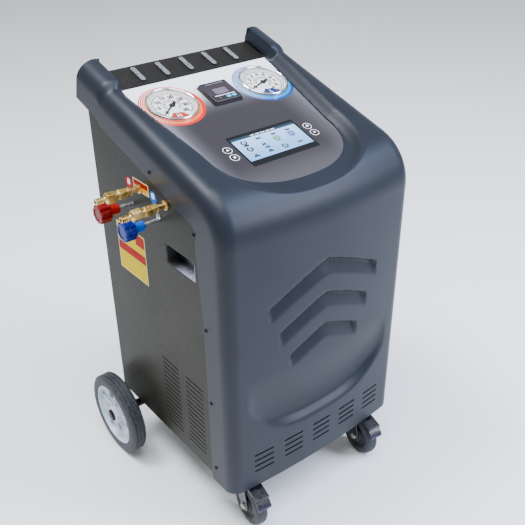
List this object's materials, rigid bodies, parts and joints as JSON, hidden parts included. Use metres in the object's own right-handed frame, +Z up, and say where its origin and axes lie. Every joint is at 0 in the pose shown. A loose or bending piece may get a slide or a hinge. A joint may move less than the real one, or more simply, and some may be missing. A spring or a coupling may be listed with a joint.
{
  "type": "air conditioning service station",
  "caption": "Wheeled refrigerant recovery and recharge station: moulded cover, sloping gauge and display panel, side service ports, swivel castors and rear wheels.",
  "frame": {"origin": "middle of the bounding box, on the floor under the wheels", "axes": "+Z up, front face towards -Y, service ports on the -X side"},
  "size_m": [0.6234, 0.5426, 0.9281],
  "materials": {
    "cover_plastic": "textured moulded plastic",
    "panel_print": "satin printed overlay on sheet",
    "cabinet_paint": "semi-gloss powder coat",
    "tray_plastic": "textured",
    "chrome_case": "polished",
    "dial_white": "matt white",
    "pointer_black": "satin black",
    "clear_lens": "clear",
    "screen_glass": "glossy",
    "black_plastic": "fine texture",
    "smoked_door": "smoked",
    "key_plastic": "satin",
    "feed_key_plastic": "satin",
    "paper": "thermal paper",
    "board_green": "solder mask",
    "brass": "turned",
    "alloy": "machined",
    "red_plastic": "moulded",
    "blue_plastic": "moulded",
    "black_paint": "powder coat",
    "pedal_plastic": "moulded",
    "castor_rubber": "moulded",
    "tyre_rubber": "ribbed",
    "hub_plastic": "light grey moulded",
    "steel_axle": "zinc plated",
    "rocker_red": "moulded",
    "tank_paint": "gloss paint",
    "scale_steel": "bent sheet",
    "compressor_paint": "semi-gloss black",
    "pump_paint": "gloss paint",
    "fin_aluminium": "bare",
    "drier_steel": "drawn",
    "bottle_plastic": "translucent"
  },
  "bodies": {
    "cabinet": {"back_panel": "cabinet_paint", "base_frame": "black_paint", "castor_plate_left": "black_paint", "castor_plate_right": "black_paint", "compressor": "compressor_paint", "condenser": "fin_aluminium", "control_board": "board_green", "control_panel": "panel_print", "display_glass": "screen_glass", "display_module": "black_plastic", "filter_drier": "drier_steel", "front_cover": "cover_plastic", "high_gauge_case": "chrome_case", "high_gauge_dial": "dial_white", "high_gauge_lens": "clear_lens", "high_service_port": "brass", "left_grip_pocket": "black_plastic", "left_side_panel": "cabinet_paint", "low_gauge_case": "chrome_case", "low_gauge_dial": "dial_white", "low_gauge_lens": "clear_lens", "low_service_port": "brass", "oil_bottle": "bottle_plastic", "power_inlet": "black_plastic", "power_supply": "alloy", "printer_body": "black_plastic", "push_handle": "black_paint", "rear_axle": "steel_axle", "rear_tray": "tray_plastic", "refrigerant_tank": "tank_paint", "right_grip_pocket": "black_plastic", "right_side_panel": "cabinet_paint", "service_manifold": "alloy", "tank_scale": "scale_steel", "vacuum_pump": "pump_paint"},
    "castor_swivel_left": {"castor_fork_left": "black_paint"},
    "castor_swivel_right": {"castor_fork_right": "black_paint"},
    "castor_roller_left": {"castor_wheel_left": "castor_rubber"},
    "castor_roller_right": {"castor_wheel_right": "castor_rubber"},
    "castor_pedal_left": {"castor_brake_left": "pedal_plastic"},
    "castor_pedal_right": {"castor_brake_right": "pedal_plastic"},
    "rear_wheel_left": {"rear_hub_left": "hub_plastic", "rear_tyre_left": "tyre_rubber"},
    "rear_wheel_right": {"rear_hub_right": "hub_plastic", "rear_tyre_right": "tyre_rubber"},
    "high_pointer": {"high_gauge_pointer": "pointer_black"},
    "low_pointer": {"low_gauge_pointer": "pointer_black"},
    "door": {"printer_door": "smoked_door"},
    "roll": {"paper_roll": "paper"},
    "feed_key": {"printer_feed_key": "feed_key_plastic"},
    "select_key": {"printer_select_key": "feed_key_plastic"},
    "high_knob": {"high_shutoff_knob": "red_plastic"},
    "low_knob": {"low_shutoff_knob": "blue_plastic"},
    "key_lu": {"key_left_upper": "key_plastic"},
    "key_ll": {"key_left_lower": "key_plastic"},
    "key_ru": {"key_right_upper": "key_plastic"},
    "key_rl": {"key_right_lower": "key_plastic"},
    "rocker": {"power_rocker": "rocker_red"},
    "fan": {"fan_rotor": "black_plastic"}
  },
  "joints": [
    {"name": "castor_swivel_left", "type": "hinge", "parent": "cabinet", "child": "castor_swivel_left", "pos_m": [-0.1557, -0.17668, 0.1187], "axis": [0, 0, 1], "continuous": true},
    {"name": "castor_roll_left", "type": "hinge", "parent": "castor_swivel_left", "child": "castor_roller_left", "pos_m": [-0.15946, -0.21248, 0.05], "axis": [0.9945, -0.1045, 0], "continuous": true},
    {"name": "castor_brake_left", "type": "hinge", "parent": "castor_swivel_left", "child": "castor_pedal_left", "pos_m": [-0.15821, -0.20055, 0.1098], "axis": [0.9945, -0.1045, 0], "range_deg": [0, 7]},
    {"name": "rear_wheel_left", "type": "hinge", "parent": "cabinet", "child": "rear_wheel_left", "pos_m": [-0.2627, 0.17132, 0.1], "axis": [1, 0, 0], "continuous": true},
    {"name": "castor_swivel_right", "type": "hinge", "parent": "cabinet", "child": "castor_swivel_right", "pos_m": [0.1803, -0.17668, 0.1187], "axis": [0, 0, 1], "continuous": true},
    {"name": "castor_roll_right", "type": "hinge", "parent": "castor_swivel_right", "child": "castor_roller_right", "pos_m": [0.17654, -0.21248, 0.05], "axis": [0.9945, -0.1045, 0], "continuous": true},
    {"name": "castor_brake_right", "type": "hinge", "parent": "castor_swivel_right", "child": "castor_pedal_right", "pos_m": [0.17779, -0.20055, 0.1098], "axis": [0.9945, -0.1045, 0], "range_deg": [0, 7]},
    {"name": "rear_wheel_right", "type": "hinge", "parent": "cabinet", "child": "rear_wheel_right", "pos_m": [0.2873, 0.17132, 0.1], "axis": [1, 0, 0], "continuous": true},
    {"name": "high_pointer", "type": "hinge", "parent": "cabinet", "child": "high_pointer", "pos_m": [-0.1012, 0.0883, 0.85137], "axis": [0, -0.294, 0.9558], "range_deg": [-270, 0]},
    {"name": "low_pointer", "type": "hinge", "parent": "cabinet", "child": "low_pointer", "pos_m": [0.1258, 0.0883, 0.85137], "axis": [0, -0.294, 0.9558], "range_deg": [-270, 0]},
    {"name": "printer_door", "type": "hinge", "parent": "cabinet", "child": "door", "pos_m": [0.0123, 0.11073, 0.86789], "axis": [-1, 0, 0], "range_deg": [0, 95]},
    {"name": "paper_roll", "type": "hinge", "parent": "cabinet", "child": "roll", "pos_m": [0.0123, 0.09844, 0.82875], "axis": [1, 0, 0], "continuous": true},
    {"name": "printer_feed_key", "type": "slide", "parent": "cabinet", "child": "feed_key", "axis": [0, 0.294, -0.9558], "range_m": [0, 0.001], "stiffness_N_per_m": 400, "springref_m": -0.0005},
    {"name": "printer_select_key", "type": "slide", "parent": "cabinet", "child": "select_key", "axis": [0, 0.294, -0.9558], "range_m": [0, 0.001], "stiffness_N_per_m": 400, "springref_m": -0.0005},
    {"name": "high_shutoff", "type": "hinge", "parent": "cabinet", "child": "high_knob", "pos_m": [-0.2177, 0.07232, 0.684], "axis": [-1, 0, 0], "range_deg": [0, 360]},
    {"name": "low_shutoff", "type": "hinge", "parent": "cabinet", "child": "low_knob", "pos_m": [-0.2177, -0.02068, 0.684], "axis": [-1, 0, 0], "range_deg": [0, 360]},
    {"name": "key_left_upper", "type": "slide", "parent": "cabinet", "child": "key_lu", "axis": [0, 0.294, -0.9558], "range_m": [0, 0.0006], "stiffness_N_per_m": 400, "springref_m": -0.0005},
    {"name": "key_left_lower", "type": "slide", "parent": "cabinet", "child": "key_ll", "axis": [0, 0.294, -0.9558], "range_m": [0, 0.0006], "stiffness_N_per_m": 400, "springref_m": -0.0005},
    {"name": "key_right_upper", "type": "slide", "parent": "cabinet", "child": "key_ru", "axis": [0, 0.294, -0.9558], "range_m": [0, 0.0006], "stiffness_N_per_m": 400, "springref_m": -0.0005},
    {"name": "key_right_lower", "type": "slide", "parent": "cabinet", "child": "key_rl", "axis": [0, 0.294, -0.9558], "range_m": [0, 0.0006], "stiffness_N_per_m": 400, "springref_m": -0.0005},
    {"name": "power_rocker", "type": "hinge", "parent": "cabinet", "child": "rocker", "pos_m": [0.1623, 0.21882, 0.2295], "axis": [1, 0, 0], "range_deg": [-22, 0]},
    {"name": "fan_rotor", "type": "hinge", "parent": "cabinet", "child": "fan", "pos_m": [0.0123, -0.18928, 0.2388], "axis": [0, 1, 0], "continuous": true}
  ]
}
